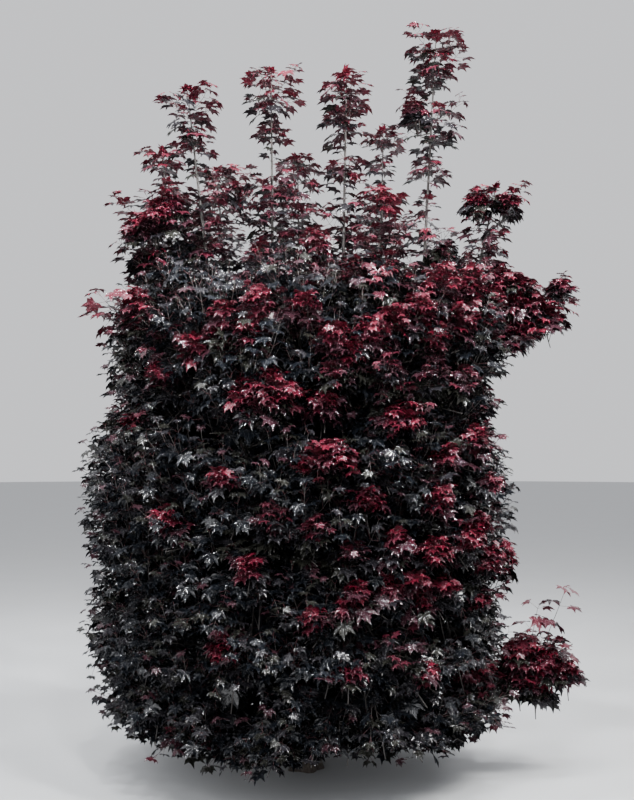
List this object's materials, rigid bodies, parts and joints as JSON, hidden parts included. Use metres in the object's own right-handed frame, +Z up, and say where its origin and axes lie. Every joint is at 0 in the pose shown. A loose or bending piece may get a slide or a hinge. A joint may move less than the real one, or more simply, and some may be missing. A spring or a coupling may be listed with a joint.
{
  "type": "norway maple",
  "caption": "Young purple-leaved Norway maple with foliage down to the ground, upright leaders with open whorls at the top and long low shoots at one side.",
  "frame": {"origin": "middle of the flat cut under the trunk, at ground level", "axes": "+Z up, +X to the right as the picture shows the tree, -Y towards the viewer"},
  "size_m": [3.3987, 2.8113, 5.1224],
  "materials": {
    "bark": "rough grey-brown bark",
    "dark_leaf": "dark purple leaves with a soft gloss",
    "red_leaf": "crimson young leaves with a soft gloss"
  },
  "bodies": {
    "root": {"trunk": "bark", "back_centre_leader": "red_leaf", "back_centre_leader_bough": "bark", "back_left_leader": "red_leaf", "back_left_leader_bough": "bark", "centre_leader": "red_leaf", "centre_leader_bough": "bark", "centre_mass": "dark_leaf", "front_right_leader": "red_leaf", "front_right_leader_bough": "bark", "left_centre_leader": "red_leaf", "left_centre_leader_bough": "bark", "left_leader": "red_leaf", "left_leader_bough": "bark", "left_outer_leader": "red_leaf", "left_outer_leader_bough": "bark", "left_shoulder": "red_leaf", "left_shoulder_bough": "bark", "lower_back_left_mass": "dark_leaf", "lower_back_right_mass": "dark_leaf", "lower_front_left_mass": "dark_leaf", "lower_front_right_mass": "dark_leaf", "lower_right_arm": "red_leaf", "lower_right_arm_bough": "bark", "lower_right_mass": "dark_leaf", "middle_back_bough": "bark", "middle_back_mass": "dark_leaf", "middle_front_bough": "bark", "middle_front_mass": "dark_leaf", "middle_left_bough": "bark", "middle_left_mass": "dark_leaf", "middle_right_back_bough": "bark", "middle_right_back_mass": "dark_leaf", "middle_right_front_bough": "bark", "middle_right_front_mass": "dark_leaf", "right_arm": "red_leaf", "right_arm_bough": "bark", "right_centre_leader": "red_leaf", "right_centre_leader_bough": "bark", "right_leader": "red_leaf", "right_leader_bough": "bark", "tall_leader": "red_leaf", "tall_leader_bough": "bark", "upper_back_left_bough": "bark", "upper_back_left_mass": "dark_leaf", "upper_back_right_bough": "bark", "upper_back_right_mass": "dark_leaf", "upper_front_left_bough": "bark", "upper_front_left_mass": "dark_leaf", "upper_front_right_bough": "bark", "upper_front_right_mass": "dark_leaf", "upper_right_bough": "bark", "upper_right_mass": "dark_leaf"}
  },
  "joints": []
}
